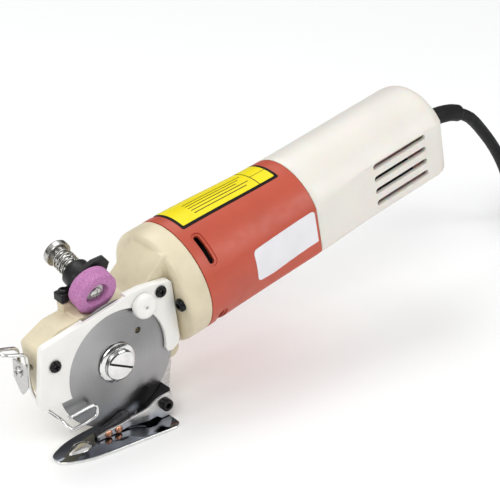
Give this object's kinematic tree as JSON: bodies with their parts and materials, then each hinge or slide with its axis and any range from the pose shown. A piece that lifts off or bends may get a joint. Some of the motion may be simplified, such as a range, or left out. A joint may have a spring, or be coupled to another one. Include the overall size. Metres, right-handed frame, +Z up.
{
  "type": "rotary cutter",
  "caption": "Hand-held electric fabric cutter: round blade under a white cover, sharpener on top, flat sole, and a motor handle with its mains lead.",
  "frame": {"origin": "on the underside of the sole plate, straight below the blade's axis, in the plane of the blade's outer face", "axes": "+X from the blade to the handle's rear, +Y away from the side with the blade's nut, +Z up"},
  "size_m": [0.483, 0.1111, 0.1219],
  "materials": {
    "cream_paint": "semi-gloss cream paint on an aluminium casting",
    "red_plastic": "semi-gloss moulded",
    "white_plastic": "semi-gloss moulded, warm white",
    "white_nylon": "satin moulded nylon",
    "black_steel": "black oxide",
    "black_plastic": "satin black",
    "black_rubber": "satin black",
    "blade_steel": "ground in rings",
    "bright_steel": "bright plated",
    "satin_steel": "satin",
    "spring_steel": "bright drawn wire",
    "core_steel": "dull laminations",
    "copper": "bare copper",
    "bronze": "machined bronze",
    "carbon": "dull carbide or graphite",
    "pink_stone": "fine-grained vitrified abrasive"
  },
  "bodies": {
    "housing": {"gearbox_housing": "cream_paint", "gearbox_cover": "cream_paint", "motor_casing": "red_plastic", "rear_shell": "white_plastic", "blade_cover": "white_nylon", "cover_plug": "white_nylon", "gearbox_screw_1": "black_steel", "gearbox_screw_2": "black_steel", "flange_screw_1": "black_steel", "flange_screw_2": "black_steel", "cover_screw_front": "black_steel", "cover_screw_rear": "black_steel", "rear_screw": "black_steel", "sharpener_screw": "black_steel", "arm_screw": "black_steel", "switch_body": "black_plastic", "capacitor": "black_plastic", "sharpener_bracket": "black_plastic", "spacer_block": "black_plastic", "strain_relief": "black_rubber", "cord": "black_rubber", "cord_coil": "black_rubber", "plug": "black_rubber", "sole_plate": "bright_steel", "front_bearing": "satin_steel", "tip_bush": "satin_steel", "rear_bearing": "satin_steel", "rear_bearing_bracket": "satin_steel", "guard_clip": "satin_steel", "clip_screw": "satin_steel", "foot_arm": "satin_steel", "leg_plate": "satin_steel", "plunger_spring": "spring_steel", "stator_core": "core_steel", "field_coil_upper": "copper", "field_coil_lower": "copper", "rivet_1": "copper", "rivet_2": "copper", "spindle_bush": "bronze", "brush_holder_near": "bronze", "brush_holder_far": "bronze", "carbon_brush_near": "carbon", "carbon_brush_far": "carbon", "counter_knife": "carbon"},
    "rotor": {"worm_shaft": "satin_steel", "armature": "core_steel", "commutator": "copper", "fan": "black_plastic"},
    "blade": {"spindle": "satin_steel", "worm_wheel": "bronze", "gear_nut": "satin_steel", "round_blade": "blade_steel", "blade_washer": "bright_steel", "blade_nut": "bright_steel"},
    "plunger": {"plunger_rod": "satin_steel", "plunger_button": "bright_steel"},
    "wheel": {"grinding_wheel": "pink_stone", "wheel_screw": "satin_steel"},
    "guard": {"finger_guard": "bright_steel"},
    "switch": {"switch_slider": "black_plastic"}
  },
  "joints": [
    {"name": "motor_spin", "type": "hinge", "parent": "housing", "child": "rotor", "pos_m": [0, 0.019, 0.0517], "axis": [0.9813, 0, 0.1925], "continuous": true},
    {"name": "blade_spin", "type": "hinge", "parent": "housing", "child": "blade", "pos_m": [0, 0, 0.039], "axis": [0, 1, 0], "continuous": true},
    {"name": "sharpener_press", "type": "slide", "parent": "housing", "child": "plunger", "axis": [0, -0.9613, -0.2756], "range_m": [0, 0.0021], "stiffness_N_per_m": 400, "springref_m": -0.004, "deforming": ["plunger_spring"]},
    {"name": "wheel_spin", "type": "hinge", "parent": "plunger", "child": "wheel", "pos_m": [-0.0086, 0.001, 0.0795], "axis": [0, -0.9613, -0.2756], "continuous": true},
    {"name": "guard_slide", "type": "slide", "parent": "housing", "child": "guard", "axis": [0, 0, 1], "range_m": [-0.003, 0.004]},
    {"name": "switch_slide", "type": "slide", "parent": "housing", "child": "switch", "axis": [0.9813, 0, 0.1925], "range_m": [0, 0.009]}
  ],
  "couplings": [
    {"joint": "blade_spin", "follows": "motor_spin", "ratio": -0.11111}
  ]
}
